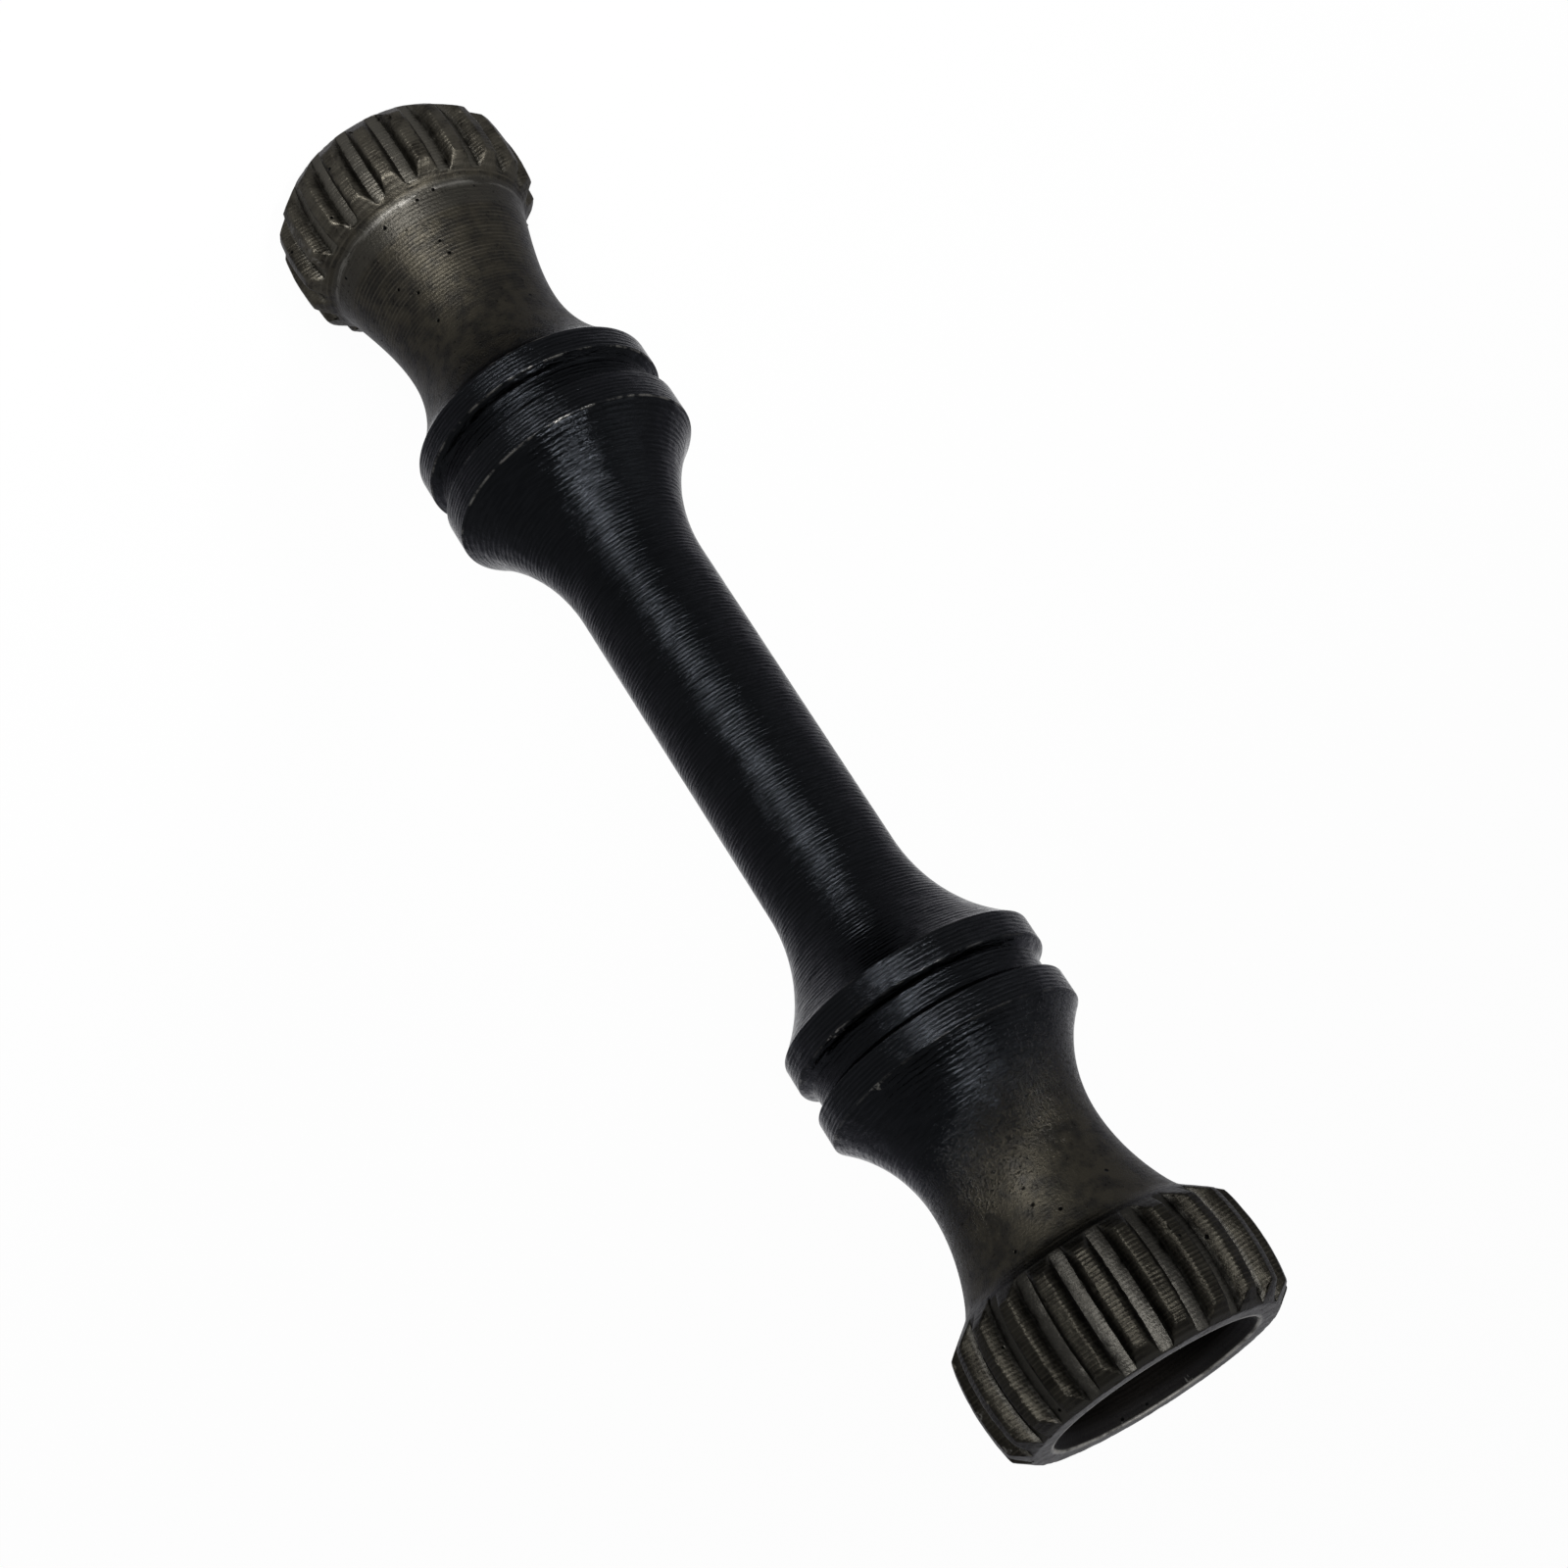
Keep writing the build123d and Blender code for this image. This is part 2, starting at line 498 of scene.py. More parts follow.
class Shaft:
    """The one-piece shaft: two toothed heads, two collars, their waists and the thin stem."""

    ROUND = 160
    GROOVE_ROUND = 0.2
    MOUTH_ROUND = 0.18
    LEAD_ROUND = 0.3
    FACE_ROUND = 0.12
    SAME_HEIGHT = 0.002

    # Smoothing of the corner behind each head: its reach along the axis, and how often.
    SOFT_REACH = 0.75
    SOFT_PASSES = 8

    # Wear, in millimetres: the turn that counts as a full corner, the loss of skin and of
    # corners, and how deep a chip goes for each unit of noise.
    FULL_CORNER = 0.12
    HEAD_SKIN = 0.03
    HEAD_CORNER = 0.06
    HEAD_CHIP = 0.6
    BODY_CORNER = 0.01
    BODY_CHIP = 0.7
    POCKET_WEAR = 0.1

    def __init__(self, small: End, large: End, steel: Steel) -> None:
        """Keep the sizes of both ends."""
        self.small = small
        self.large = large
        self.steel = steel

    def outline(self, end: End) -> list[Point]:
        """Outline of one end's turned part, from just past the teeth to the stem.

        Args:
            end: Which end.

        Returns:
            Points by radius and height over that end's own face.
        """
        steel = self.steel
        top = steel.collar_radius
        floor = top - steel.groove_depth
        wall = steel.groove_depth / math.tan(math.radians(steel.groove_wall_angle))
        waist = (end.waist_radius, end.waist_place)
        lip = end.collar_place
        cut = lip + end.outer_land
        back = cut + steel.groove_width
        last = back + end.inner_land
        stem = last + math.sqrt(
            steel.stem_blend**2 - (steel.stem_blend - top + steel.stem_radius) ** 2
        )
        points = end.waist_points(26)[1:-1]
        climb = concave(waist, (top, lip), 22)
        points += climb[:-1]
        points += rounded(climb[-2], (top, lip), (top, cut), steel.land_round, 4)
        points += run((top, lip + steel.land_round), (top, cut - steel.land_round), 6)
        points += rounded((top, lip), (top, cut), (floor, cut + wall), steel.land_round, 4)
        start, stop = cut + wall, back - wall
        soft = self.GROOVE_ROUND
        points += rounded((top, cut), (floor, start), (floor, stop), soft, 3)
        points += run((floor, start + soft), (floor, stop - soft), 5)
        points += rounded((floor, start), (floor, stop), (top, back), soft, 3)
        points += rounded((floor, back - wall), (top, back), (top, last), steel.land_round, 4)
        points += run((top, back + steel.land_round), (top, last - steel.land_round), 6)
        blend = concave((steel.stem_radius, stem), (top, last), 26)[::-1]
        points += rounded((top, back), (top, last), blend[1], steel.land_round, 4)
        return points + blend[1:]

    def head(self, name: str, end: End, tail: list[Point]) -> bpy.types.Object:
        """Model a head with its end face.

        Args:
            name: Name of the object.
            end: Its sizes.
            tail: Outline inwards from the edge of its end face, to the axis.

        Returns:
            The head, open at its back.
        """
        ring = Head(name, end).build()
        Bench.select_vertices(ring, lambda co: co.z < 0.001)
        radius, height = end.face_radius, 0.0
        for next_radius, next_height in tail:
            share = next_radius / radius
            bpy.ops.mesh.extrude_region_move()
            bpy.ops.transform.resize(value=(share, share, 1), center_override=(0, 0, 0))
            bpy.ops.transform.translate(value=(0, 0, next_height - height))
            radius, height = next_radius, next_height
        bpy.ops.mesh.merge(type="CENTER")
        Bench.done()
        return ring

    def pocket(self) -> list[Point]:
        """Outline of the large head's end face and pocket, from the face's edge to the axis."""
        steel = self.steel
        mouth, bore, depth = steel.mouth_radius, steel.pocket_radius, steel.pocket_depth
        points = [(self.large.face_radius - self.FACE_ROUND, 0.0)]
        points += run((self.large.face_radius, 0), (mouth, 0), 4)
        points += rounded((mouth + 1, 0), (mouth, 0), (bore, steel.lead_in), self.MOUTH_ROUND, 3)
        points += run((mouth - 0.2, 0.26), (bore, steel.lead_in), 4)
        points += rounded((mouth, 0), (bore, steel.lead_in), (bore, depth), self.LEAD_ROUND, 2)
        points += run((bore, steel.lead_in), (bore, depth - steel.pocket_corner), 9)
        points += rounded((bore, 0), (bore, depth), (0, depth), steel.pocket_corner, 5)
        return points + [(6.5, depth), (4.0, depth), (1.5, depth)]

    def small_face(self) -> list[Point]:
        """Outline of the small head's plain end face, from its edge to the axis."""
        radius = self.small.face_radius
        rings = (radius - self.FACE_ROUND, radius - 1.0, 8.0, 5.5, 3.0, 1.2)
        return [(ring, 0.0) for ring in rings]

    def build(self) -> bpy.types.Object:
        """Model the shaft in millimetres and bring it to metres.

        Returns:
            The finished piece, closed, at its place.
        """
        steel = self.steel
        small = self.head("small_head", self.small, self.small_face())
        large = self.head("large_head", self.large, self.pocket())
        Bench.edit(large)
        bpy.ops.mesh.select_all(action="SELECT")
        bpy.ops.transform.rotate(value=math.pi, orient_axis="X", center_override=(0, 0, 0))
        bpy.ops.transform.translate(value=(0, 0, steel.length))
        Bench.done()
        lower = self.outline(self.small)
        upper = [(r, steel.length - z) for r, z in reversed(self.outline(self.large))]
        stem = run(lower[-1], upper[0], 24)
        body = Bench.polyline("turned_body", lower + stem + upper)
        Bench.spin(body, self.ROUND)
        Bench.join(small, large, body)
        shaft = small
        shaft.name = "splined_shaft_steel"
        shaft.data.name = shaft.name
        self.bridge(shaft, self.small.foot[1], lower[0][1])
        self.bridge(shaft, steel.length - self.large.foot[1], upper[-1][1])
        self.soften(shaft)
        self.wear(shaft)
        Bench.edit(shaft)
        bpy.ops.mesh.select_all(action="SELECT")
        bpy.ops.transform.resize(value=(MM, MM, MM), center_override=(0, 0, 0))
        bpy.ops.mesh.normals_make_consistent(inside=False)
        Bench.done()
        Bench.pick(shaft)
        bpy.ops.object.shade_smooth_by_angle(angle=math.radians(40))
        return shaft

    def bridge(self, shaft: bpy.types.Object, first: float, second: float) -> None:
        """Bridge the open loops of a head and of the turned body.

        Args:
            shaft: The joined object.
            first: Height of the head's open loop.
            second: Height of the body's open loop.
        """
        Bench.select_vertices(
            shaft,
            lambda co: min(abs(co.z - first), abs(co.z - second)) < self.SAME_HEIGHT,
        )
        bpy.ops.mesh.select_mode(type="EDGE")
        bpy.ops.mesh.bridge_edge_loops()
        Bench.done()

    def soften(self, shaft: bpy.types.Object) -> None:
        """Round the corner behind each head, where its back cone meets the waist."""
        for place in (self.small.foot[1], self.steel.length - self.large.foot[1]):
            Bench.select_vertices(shaft, lambda co, at=place: abs(co.z - at) < self.SOFT_REACH)
            bpy.ops.mesh.vertices_smooth(factor=0.5, repeat=self.SOFT_PASSES)
            Bench.done()

    def wear(self, shaft: bpy.types.Object) -> None:
        """Knock back corners, chip them here and there, and leave small dents and pits."""
        mesh = shaft.data
        normals = [vertex.normal.copy() for vertex in mesh.vertices]
        sharp = [0.0] * len(mesh.vertices)
        face_normals = [polygon.normal.copy() for polygon in mesh.polygons]
        around: list[list[int]] = [[] for _ in mesh.vertices]
        for polygon in mesh.polygons:
            for index in polygon.vertices:
                around[index].append(polygon.index)
        for index, faces in enumerate(around):
            spread = [1.0 - normals[index].dot(face_normals[face]) for face in faces]
            sharp[index] = max(spread, default=0.0)
        for vertex in mesh.vertices:
            vertex.co -= normals[vertex.index] * self.wear_depth(vertex.co, sharp[vertex.index])

    def wear_depth(self, place: Vector, corner: float) -> float:
        """How deep the steel is worn at a place.

        Args:
            place: The place, in millimetres.
            corner: How sharply the surface turns there, from 0 on flat steel.

        Returns:
            Depth below the new surface, never negative.
        """
        near_small = place.z < self.small.foot[1] + 0.5
        near_large = place.z > self.steel.length - self.large.foot[1] - 0.5
        share = min(corner / self.FULL_CORNER, 1.0)
        if not (near_small or near_large):
            nick = max(noise.noise(place * 1.1 + Vector((2, 9, 4))) - 0.26, 0.0)
            return share * (self.BODY_CORNER + self.BODY_CHIP * nick)
        rough = noise.fractal(place * 0.9, 1.0, 2.0, 3)
        fine = noise.noise(place * 2.3)
        chip = max(noise.noise(place * 1.3 + Vector((7, 3, 1))) - 0.22, 0.0)
        in_pocket = math.hypot(place.x, place.y) <= self.steel.mouth_radius + 0.3
        worn = self.POCKET_WEAR if in_pocket else 1.0
        skin = worn * self.HEAD_SKIN * max(rough + 0.3, 0.0)
        loss = self.HEAD_CORNER + self.HEAD_CORNER * max(fine, -0.6) + self.HEAD_CHIP * chip
        return max(skin + worn * share * loss, 0.0)


# ---------------------------------------------------------------- shader workshop


class Wire:
    """One value in a node tree. Arithmetic on it adds Math nodes."""

    def __init__(self, tree: "Paint", socket: bpy.types.NodeSocket) -> None:
        """Keep the tree and the socket that gives the value."""
        self.tree = tree
        self.socket = socket

    def _math(self, operation: str, *values: Any) -> "Wire":
        """Add one Math node."""
        return self.tree.node("ShaderNodeMath", {"operation": operation}, values)

    def __add__(self, other: Any) -> "Wire":
        """Sum."""
        return self._math("ADD", self, other)

    __radd__ = __add__

    def __sub__(self, other: Any) -> "Wire":
        """Difference."""
        return self._math("SUBTRACT", self, other)

    def __rsub__(self, other: Any) -> "Wire":
        """Difference from a plain number."""
        return self._math("SUBTRACT", other, self)

    def __mul__(self, other: Any) -> "Wire":
        """Product."""
        return self._math("MULTIPLY", self, other)

    __rmul__ = __mul__

    def clamp(self) -> "Wire":
        """The value held between 0 and 1."""
        settings = {"operation": "ADD", "use_clamp": True}
        return self.tree.node("ShaderNodeMath", settings, (self, 0.0))

    def sine(self) -> "Wire":
        """Sine of the value."""
        return self._math("SINE", self)

    def smooth(self, low: float, high: float) -> "Wire":
        """Smooth step of the value, from 0 at low to 1 at high."""
        settings = {"interpolation_type": "SMOOTHSTEP"}
        return self.tree.node(
            "ShaderNodeMapRange", settings, {"Value": self, "From Min": low, "From Max": high}
        )

    def band(self, start: float, full: float, fading: float, gone: float) -> "Wire":
        """Smooth band of the value: up from start to full, and down from fading to gone."""
        return self.smooth(start, full) * (1 - self.smooth(fading, gone))


class Finish(Enum):
    """The colours found along the shaft, some of them used as painted shade and painted light."""

    SMALL_CREST = (0.042, 0.0385, 0.031, 1)
    LARGE_CREST = (0.0115, 0.0107, 0.0086, 1)
    # The floors' colours are lighter than the crests' as a painted reflection of light in the
    # tooth spaces.
    SMALL_FLOOR = (0.052, 0.049, 0.042, 1)
    LARGE_FLOOR = (0.019, 0.0182, 0.0162, 1)
    NECK = (0.023, 0.0208, 0.016, 1)
    STAINED_NECK = (0.0125, 0.0118, 0.0105, 1)
    TURNED = (0.045, 0.041, 0.033, 1)
    SEAT = (0.026, 0.0245, 0.021, 1)
    OXIDE = (0.0044, 0.0048, 0.0055, 1)
    SCRATCHED_OXIDE = (0.0056, 0.0061, 0.007, 1)
    SCUFF = (0.011, 0.0115, 0.0128, 1)
    # Painted shade inside the pocket.
    LEAD_IN_SHADE = (0.006, 0.0058, 0.0062, 1)
    # Real grime on the crests and in specks, also used as painted shade on the flanks, behind the
    # teeth and down the pocket's bore.
    GRIME_AND_SHADE = (0.0028, 0.0025, 0.0022, 1)
    PIT = (0.0008, 0.0008, 0.0008, 1)
    # Bright bare steel for worn edges and the pocket's mouth, also a painted highlight ring on the
    # small head's fillet.
    BRIGHT = (0.16, 0.155, 0.145, 1)


class Paint:
    """A material's node tree."""

    def __init__(self, name: str) -> None:
        """Start an empty material with a Principled shader."""
        self.material = bpy.data.materials.new(name)
        self.material.use_nodes = True
        self.nodes = self.material.node_tree.nodes
        self.links = self.material.node_tree.links
        self.nodes.clear()
        self.shader = self.nodes.new("ShaderNodeBsdfPrincipled")
        output = self.nodes.new("ShaderNodeOutputMaterial")
        self.links.new(self.shader.outputs[0], output.inputs["Surface"])

    def give(self, socket: bpy.types.NodeSocket, value: Any) -> None:
        """Link a wire to a socket, or set a plain value or a finish's colour there."""
        if isinstance(value, Wire):
            self.links.new(value.socket, socket)
        else:
            socket.default_value = value.value if isinstance(value, Finish) else value

    def node(self, kind: str, settings: dict[str, Any], values: Any, output: Any = 0) -> Wire:
        """Add a node.

        Args:
            kind: The node's type.
            settings: Its properties, set first.
            values: Its inputs by name, or in order.
            output: Which output to use.

        Returns:
            That output.
        """
        made = self.nodes.new(kind)
        for key, value in settings.items():
            setattr(made, key, value)
        pairs = values.items() if isinstance(values, dict) else enumerate(values)
        for key, value in pairs:
            self.give(made.inputs[key], value)
        return Wire(self, made.outputs[output])

    def feed(self, socket: str, value: Any) -> None:
        """Give one socket of the shader a value or a wire."""
        self.give(self.shader.inputs[socket], value)

    def mix(self, factor: Any, low: Any, high: Any) -> Wire:
        """Mix two colours, from low at factor 0 to high at factor 1."""
        inputs = {0: factor, 6: low, 7: high}
        return self.node("ShaderNodeMix", {"data_type": "RGBA"}, inputs, 2)

    def noise(self, where: Wire, scale: float, detail: float = 4.0, rough: float = 0.55) -> Wire:
        """Noise, around 0.5."""
        values = {"Vector": where, "Scale": scale, "Detail": detail, "Roughness": rough}
        return self.node("ShaderNodeTexNoise", {}, values)


@dataclass(frozen=True)
class ToothMasks:
    """Where the parts of the teeth lie, each from 0 to 1."""

    toothed: Wire
    floor: Wire
    crown: Wire
    flank: Wire
    behind: Wire


class SteelPaint:
    """The shaft's finish: black oxide in the middle, bare brownish steel at both ends.

    Lengths are in millimetres. A pair of numbers gives where a mask starts and where it is full.
    """

    OXIDE_ROUGHNESS = 0.15
    BARE_ROUGHNESS = 0.4
    EDGE_TINT = (0.6, 0.6, 0.62, 1)
    BUMP_STRENGTH = 0.5
    BUMP_HEIGHT = 0.05 * MM

    # Lines left by turning: their pitch, and how far they wander.
    LINE_PITCH = 0.42
    LINE_WANDER = 2.4

    # Heights where bare steel starts to give way to black, over each head's own end face.
    SMALL_BARE_END = 26.0
    LARGE_BARE_END = 19.0

    # Depths below the crests, where the parts of a tooth begin.
    CROWN_FADE = (0.05, 0.2)
    FLANK_START = (0.1, 0.35)
    FLOOR_START = (0.85, 1.1)
    FLOOR_FADE = (1.35, 1.5)
    BEHIND_START = (1.2, 1.5)

    def __init__(self, small: End, large: End, steel: Steel) -> None:
        """Lay out the fields that the whole finish is made from."""
        self.small = small
        self.large = large
        self.steel = steel
        self.paint = paint = Paint("blackened_steel_worn")
        spot = paint.node("ShaderNodeTexCoord", {}, {}, "Object")
        scaling = {0: spot, "Scale": 1 / MM}
        self.where = where = paint.node("ShaderNodeVectorMath", {"operation": "SCALE"}, scaling)
        axes = [paint.node("ShaderNodeSeparateXYZ", {}, {0: where}, i) for i in range(3)]
        self.x, self.y, self.z = axes
        square = self.x * self.x + self.y * self.y
        self.radius = paint.node("ShaderNodeMath", {"operation": "POWER"}, (square, 0.5))
        self.cloud = paint.noise(where, 0.16, 4.0)
        self.mottle = paint.noise(where, 0.55, 5.0, 0.6)
        self.grain = paint.noise(where, 3.2, 3.0, 0.7)
        self.swell = paint.noise(where, 0.2, 2.0)
        self.streak = self.drawn_out((0.35, 0.35, 2.6), 4.0, 0.65)
        self.fine = self.drawn_out((0.4, 0.4, 4.5), 3.0, 0.6)
        self.upper = self.z.smooth(steel.length * 0.4, steel.length * 0.6)
        phase = self.z * (2 * math.pi / self.LINE_PITCH) + (self.mottle - 0.5) * self.LINE_WANDER
        self.lines = phase.sine()
        self.bare = self.bare_share()
        self.speckle = self.grain.smooth(0.56, 0.68) * self.mottle.smooth(0.35, 0.6)
        self.turned = self.turned_share()
        self.teeth = self.tooth_masks()

    def drawn_out(self, scale: tuple[float, float, float], detail: float, rough: float) -> Wire:
        """Noise drawn out round the shaft, as the scratches of turning are.

        Args:
            scale: Its scale along X, Y and Z, per millimetre.
            detail: The noise's detail.
            rough: The noise's roughness.

        Returns:
            The noise, around 0.5.
        """
        place = self.paint.node("ShaderNodeMapping", {}, {"Vector": self.where, "Scale": scale})
        return self.paint.noise(place, 1.0, detail, rough)

    def bare_share(self) -> Wire:
        """Where the steel is bare, with ragged ends that reach further on the side that shows."""
        z, length, collar = self.z, self.steel.length, self.small.collar_place
        blotch, speck = self.mottle - 0.5, self.grain - 0.5
        low_end = z + blotch * 7.0 + speck * 10.0 - self.x * 0.35
        low = 1 - low_end.smooth(self.SMALL_BARE_END, collar - 0.5)
        low = low * (1 - z.smooth(collar - 1.5, collar))
        high_end = z + blotch * 6.0 + speck * 16.0 - self.y * 0.4
        inner_end = length - self.large.collar_place + 5.0
        high = high_end.smooth(inner_end, length - self.LARGE_BARE_END)
        return (low + high).clamp()

    def turned_share(self) -> Wire:
        """Where turning lines show on bare steel: below the small waist and on the large head."""
        length = self.steel.length
        return (1 - self.z.smooth(17.0, 26.0)) + self.z.smooth(length - 13.5, length - 13.0)

    def tooth_masks(self) -> ToothMasks:
        """Masks of the crests, flanks and floors, and of the ground behind the teeth."""
        z, length = self.z, self.steel.length
        small_foot, large_foot = self.small.foot[1], length - self.large.foot[1]
        on_small = 1 - z.smooth(small_foot - 0.9, small_foot - 0.3)
        on_large = z.smooth(large_foot + 0.3, large_foot + 0.9)
        depth = self.tooth_depth(z, self.small) * on_small
        depth = depth + self.tooth_depth(length - z, self.large) * on_large
        toothed = (on_small + on_large).clamp()
        inner = z.band(5.0, 6.0, length - 6.0, length - 5.0)
        return ToothMasks(
            toothed=toothed,
            floor=depth.band(*self.FLOOR_START, *self.FLOOR_FADE) * toothed,
            crown=(1 - depth.smooth(*self.CROWN_FADE)) * on_large * z.smooth(0.0, length - 12.0),
            flank=depth.band(*self.FLANK_START, *self.FLOOR_START) * toothed,
            behind=depth.smooth(*self.BEHIND_START) * toothed * inner,
        )

    def tooth_depth(self, height: Wire, end: End) -> Wire:
        """How far a point lies under the crowned crests of a head.

        Args:
            height: Height over the head's own end face, in millimetres.
            end: The head.

        Returns:
            The depth, in millimetres.
        """
        off = height - end.crown_middle
        return end.tip_radius - self.radius - off * off * (0.5 / end.steel.crown_radius)

    def bare_colour(self) -> Wire:
        """Colour of the bare steel: waists, teeth, turned seat and the grime on them, with painted
        shade on the flanks and deep behind the teeth, floors painted lighter as a painted
        reflection, and a painted highlight ring behind the small head.
        """
        paint, teeth, foot = self.paint, self.teeth, self.small.foot[1]
        neck = paint.mix(self.mottle.smooth(0.38, 0.66), Finish.NECK, Finish.STAINED_NECK)
        crests = paint.mix(self.upper, Finish.SMALL_CREST, Finish.LARGE_CREST)
        crests = paint.mix(self.mottle.smooth(0.35, 0.75) * 0.75, crests, Finish.GRIME_AND_SHADE)
        floors = paint.mix(self.upper, Finish.SMALL_FLOOR, Finish.LARGE_FLOOR)
        patches = self.streak.smooth(0.4, 0.6)
        lines = self.lines.smooth(0.0, 1.0) * (0.2 + 0.6 * patches) * self.turned
        seat = self.z.band(foot - 0.2, foot + 0.1, foot + 2.5, foot + 3.1)
        # Painted highlight: a bright ring on the fillet behind the small head's teeth.
        ring = self.z.band(foot + 0.15, foot + 0.4, foot + 0.6, foot + 0.95)
        layers = (
            (lines * (0.75 - self.upper * 0.5), Finish.TURNED),
            (seat * 0.8, Finish.SEAT),
            # Painted highlight ring, broken into patches.
            (ring * 0.3 * patches, Finish.BRIGHT),
            (self.speckle * 0.85, Finish.GRIME_AND_SHADE),
            # Painted reflection: tooth-space floors lighter than the crests, in random patches.
            (teeth.floor * (0.55 + self.cloud * 0.5), floors),
            # Painted shade: the flanks darkened as if shaded by the teeth beside them.
            (teeth.flank * 0.12, Finish.GRIME_AND_SHADE),
            # Painted shade: the back cones' feet and the pocket's depth darkened as if in shadow.
            (teeth.behind * 0.5, Finish.GRIME_AND_SHADE),
        )
        return self.layered(paint.mix(teeth.toothed, neck, crests), layers)

    def oxide_colour(self) -> Wire:
        """Colour of the black finish, with scratches, scuffs and the collars' worn edges."""
        radius, collar = self.radius, self.steel.collar_radius
        oxide = self.paint.mix(
            self.fine.smooth(0.4, 0.62), Finish.OXIDE, Finish.SCRATCHED_OXIDE
        )
        land = radius.smooth(collar - 0.35, collar - 0.1)
        scuffed = self.lines.smooth(-0.4, 0.9) * (0.08 * self.cloud.smooth(0.4, 0.6) + 0.25 * land)
        lip = radius.band(collar - 0.2, collar - 0.1, collar - 0.03, collar - 0.005)
        lip = lip * self.mottle.smooth(0.46, 0.62) * (1 - self.upper * 0.8)
        return self.layered(oxide, ((scuffed, Finish.SCUFF), (lip * 0.4, Finish.BRIGHT)))

    def pocket_layers(self) -> tuple[tuple[Wire, Finish], ...]:
        """Layers of the pocket: painted shade over everything inside its mouth, deeper painted
        shade down its bore, and its bright ragged mouth.
        """
        z, radius, length = self.z, self.radius, self.steel.length
        mouth = self.steel.mouth_radius
        bright = radius.band(mouth - 0.2, mouth - 0.05, mouth + 0.1, mouth + 0.4)
        bright = bright * z.smooth(length - 1.0, length - 0.4)
        bright = bright * (0.3 + self.mottle.smooth(0.35, 0.65))
        bore = (1 - radius.smooth(9.4, 10.0)) * z.smooth(length - 14.0, length - 12.8)
        return (
            # Painted shade: everything inside the mouth darkened, the bore darker still, as if in
            # the pocket's shadow.
            (self.lead_in() * 0.8, Finish.LEAD_IN_SHADE),
            (bore * 0.9, Finish.GRIME_AND_SHADE),
            ((bright * 0.95).clamp(), Finish.BRIGHT),
        )

    def lead_in(self) -> Wire:
        """Mask of everything inside the pocket's mouth."""
        mouth, length = self.steel.mouth_radius, self.steel.length
        inside = 1 - self.radius.smooth(mouth - 0.1, mouth + 0.05)
        return inside * self.z.smooth(length - 13.0, length - 12.5)

    def layered(self, base: Wire, layers: tuple[tuple[Wire, Any], ...]) -> Wire:
        """Lay colours over a base, each by its own mask, the first one lowest."""
        for mask, colour in layers:
            base = self.paint.mix(mask, base, colour)
        return base

    def build(self) -> bpy.types.Material:
        """Make the material.

        Returns:
            The material.
        """
        paint, bare, black = self.paint, self.bare, 1 - self.bare
        values = {"Vector": self.where, "Scale": 0.4}
        spots = paint.node("ShaderNodeTexVoronoi", {"feature": "F1"}, values)
        pit = (1 - spots.smooth(0.05, 0.1)) * bare
        edge = paint.node("ShaderNodeNewGeometry", {}, {}, "Pointiness")
        rim = edge.smooth(0.53, 0.6) * self.grain.smooth(0.42, 0.62)
        rim = (rim * (0.45 - 0.1 * self.teeth.toothed)).clamp()
        colour = paint.mix(bare, self.oxide_colour(), self.bare_colour())
        colour = self.layered(colour, self.pocket_layers())
        paint.feed("Base Color", self.layered(colour, ((pit, Finish.PIT), (rim, Finish.BRIGHT))))

        roughness = self.OXIDE_ROUGHNESS + bare * (self.BARE_ROUGHNESS - self.OXIDE_ROUGHNESS)
        roughness = roughness + (self.grain - 0.5) * 0.2 + (self.streak - 0.5) * 0.2
        roughness = roughness + self.speckle * 0.15 + (self.fine - 0.5) * 0.3 * black
        paint.feed("Roughness", roughness + self.lead_in() * 0.3)
        paint.feed("Metallic", 1.0)
        paint.feed("Specular Tint", self.EDGE_TINT)

        turning = self.lines * self.streak.smooth(0.3, 0.6)
        height = turning * (0.9 + self.turned * bare * 0.3 - bare * 0.8)
        height = height + turning * self.teeth.crown * 0.8
        height = height + self.streak * 8.0 * black + self.swell * 14.0 * black
        height = height + self.grain * (0.25 + bare * 1.9) + self.mottle * bare - pit * 2.5
        relief = {"Strength": self.BUMP_STRENGTH, "Distance": self.BUMP_HEIGHT, "Height": height}
        paint.feed("Normal", paint.node("ShaderNodeBump", {}, relief))
        return paint.material


# ---------------------------------------------------------------- stage, light and camera


@dataclass(frozen=True)
class Lamp:
    """One soft lamp: place and aim in millimetres, size in metres, power in watts."""

    name: str
    place: tuple[float, float, float]
    aim: tuple[float, float, float]
    size: tuple[float, float]
    watts: float

    def hang(self) -> None:
        """Hang the lamp."""
        light = bpy.data.lights.new(self.name, "AREA")
        light.shape = "RECTANGLE"
        light.size, light.size_y = self.size
        light.energy = self.watts
        lamp = bpy.data.objects.new(self.name, light)
        bpy.context.scene.collection.objects.link(lamp)
        place, aim = Vector(self.place) * MM, Vector(self.aim) * MM
        turn = (aim - place).to_track_quat("-Z", "Y").to_matrix().to_4x4()
        lamp.matrix_world = Matrix.Translation(place) @ turn
        lamp.visible_camera = False


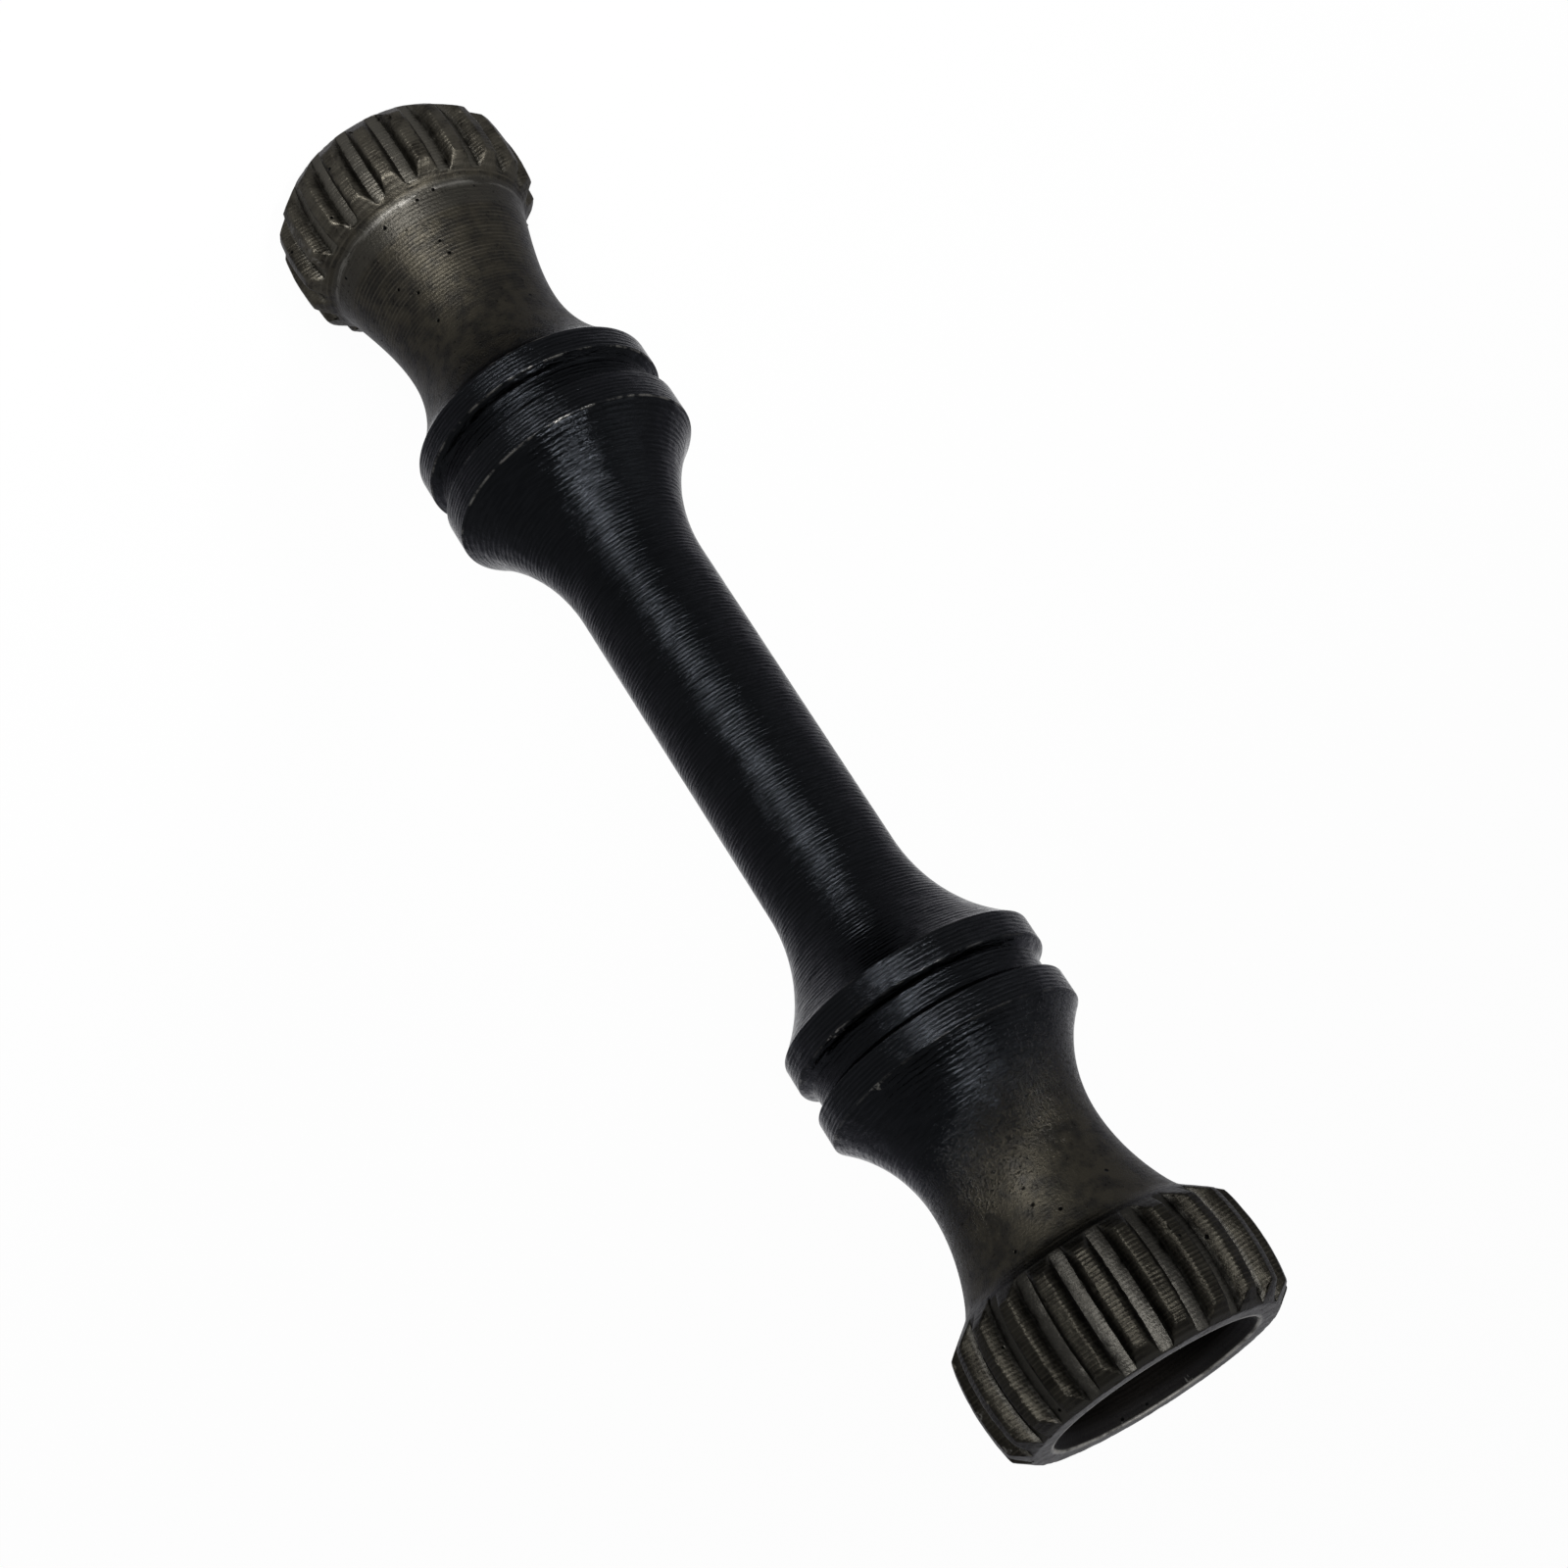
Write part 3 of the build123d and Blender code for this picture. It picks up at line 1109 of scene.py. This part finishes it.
class Stage:
    """The pale floor, the soft light and the camera."""

    FLOOR_SIZE = 60.0
    FLOOR_COLOUR = (0.8, 0.8, 0.8, 1)
    FLOOR_GLOW = 0.97
    ROOM_LIGHT = 0.35
    BACKDROP_LIGHT = 1.0

    MIDDLE = (0, 0, 75)
    LAMPS = (
        Lamp("key", (430, -70, 190), MIDDLE, (0.09, 0.12), 2.6),
        Lamp("upper", (300, -190, 330), MIDDLE, (0.08, 0.08), 1.5),
        Lamp("low_front", (200, -4, 6), (60, 0, 100), (0.05, 0.05), 0.6),
        Lamp("side", (60, -420, 240), MIDDLE, (0.3, 0.3), 0.4),
    )

    # The camera's direction and roll in degrees, and its distance and aim in millimetres.
    ELEVATION = 21.9994
    AZIMUTH = -5.4601
    ROLL = -147.1424
    DISTANCE = 279.01
    AIM = (0.6767, -1.156, 82.4774)
    SENSOR = 36.0
    LENS = 67.5689

    def floor(self) -> None:
        """Lay a plain white floor under the shaft."""
        Bench.clear_selection()
        bpy.ops.mesh.primitive_plane_add(size=self.FLOOR_SIZE)
        floor = bpy.context.object
        floor.name = "studio_floor"
        material = bpy.data.materials.new("white_floor")
        material.use_nodes = True
        nodes, links = material.node_tree.nodes, material.node_tree.links
        nodes.clear()
        output = nodes.new("ShaderNodeOutputMaterial")
        diffuse = nodes.new("ShaderNodeBsdfDiffuse")
        diffuse.inputs["Color"].default_value = self.FLOOR_COLOUR
        glow = nodes.new("ShaderNodeEmission")
        mixer = nodes.new("ShaderNodeMixShader")
        self.seen(nodes, links, mixer.inputs[0], self.FLOOR_GLOW)
        links.new(diffuse.outputs[0], mixer.inputs[1])
        links.new(glow.outputs[0], mixer.inputs[2])
        links.new(mixer.outputs[0], output.inputs["Surface"])
        floor.data.materials.append(material)

    @staticmethod
    def seen(nodes: Any, links: Any, target: bpy.types.NodeSocket, share: float) -> None:
        """Feed a socket with share where a ray comes from the camera, a gloss or a glass."""
        path = nodes.new("ShaderNodeLightPath")
        found = path.outputs["Is Camera Ray"]
        steps = (
            ("MAXIMUM", path.outputs["Is Glossy Ray"]),
            ("MAXIMUM", path.outputs["Is Transmission Ray"]),
            ("MULTIPLY", share),
        )
        for operation, value in steps:
            step = nodes.new("ShaderNodeMath")
            step.operation = operation
            links.new(found, step.inputs[0])
            if isinstance(value, float):
                step.inputs[1].default_value = value
            else:
                links.new(value, step.inputs[1])
            found = step.outputs[0]
        links.new(found, target)

    def world(self) -> None:
        """Fill the room with dim white light, and show white behind the shaft."""
        world = bpy.data.worlds.new("studio")
        world.use_nodes = True
        bpy.context.scene.world = world
        nodes, links = world.node_tree.nodes, world.node_tree.links
        background = nodes["Background"]
        background.inputs["Color"].default_value = (1, 1, 1, 1)
        ranger = nodes.new("ShaderNodeMapRange")
        ranger.inputs["To Min"].default_value = self.ROOM_LIGHT
        ranger.inputs["To Max"].default_value = self.BACKDROP_LIGHT
        self.seen(nodes, links, ranger.inputs["Value"], 1.0)
        links.new(ranger.outputs[0], background.inputs["Strength"])

    def camera(self) -> None:
        """Set up the camera, looking down on the large head, with the shaft slanting."""
        elevation, azimuth = math.radians(self.ELEVATION), math.radians(self.AZIMUTH)
        roll = math.radians(self.ROLL)
        distance, aim = self.DISTANCE * MM, Vector(self.AIM) * MM
        level = math.cos(elevation)
        back = Vector((level * math.cos(azimuth), level * math.sin(azimuth), math.sin(elevation)))
        right = Vector((0, 0, 1)).cross(back).normalized()
        up = back.cross(right)
        turned_up = up * math.cos(roll) + right * math.sin(roll)
        turned_right = turned_up.cross(back)
        data = bpy.data.cameras.new("camera")
        data.sensor_width = self.SENSOR
        data.lens = self.LENS
        data.clip_start = 0.01
        data.clip_end = 100.0
        camera = bpy.data.objects.new("camera", data)
        bpy.context.scene.collection.objects.link(camera)
        turn = Matrix((turned_right, turned_up, back)).transposed().to_4x4()
        camera.matrix_world = Matrix.Translation(aim + back * distance) @ turn
        bpy.context.scene.camera = camera

    def build(self) -> None:
        """Set up everything round the shaft."""
        self.floor()
        self.world()
        self.camera()
        for lamp in self.LAMPS:
            lamp.hang()
        bpy.context.scene.view_settings.view_transform = "Standard"


def main() -> None:
    """Build the shaft, dress it and set up the stage."""
    logging.basicConfig(level=logging.INFO, format="%(name)s: %(message)s")
    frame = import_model()
    LOG.info("frame holds %s", sorted(frame["nodes"]))
    steel = Steel()
    small = End(
        reference_diameter=27.0,
        crown_middle=5.9,
        face_radius=11.15,
        face_chamfer=2.1,
        crest_end=8.9,
        foot_radius=11.05,
        seat_angle=16.0,
        waist_place=23.2,
        waist_radius=8.55,
        collar_place=33.85,
        outer_land=2.5,
        inner_land=3.15,
    )
    large = End(
        reference_diameter=30.0,
        crown_middle=5.9,
        face_radius=12.65,
        face_chamfer=1.3,
        crest_end=10.8,
        foot_radius=11.2,
        seat_angle=28.0,
        waist_place=23.05,
        waist_radius=8.7,
        collar_place=33.1,
        outer_land=2.65,
        inner_land=2.6,
    )
    shaft = Shaft(small, large, steel).build()
    shaft.data.materials.clear()
    shaft.data.materials.append(SteelPaint(small, large, steel).build())
    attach(shaft, BODY)
    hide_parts(NODE)
    LOG.info("%s has %d faces", shaft.name, len(shaft.data.polygons))
    Stage().build()


if __name__ == "__main__":
    main()
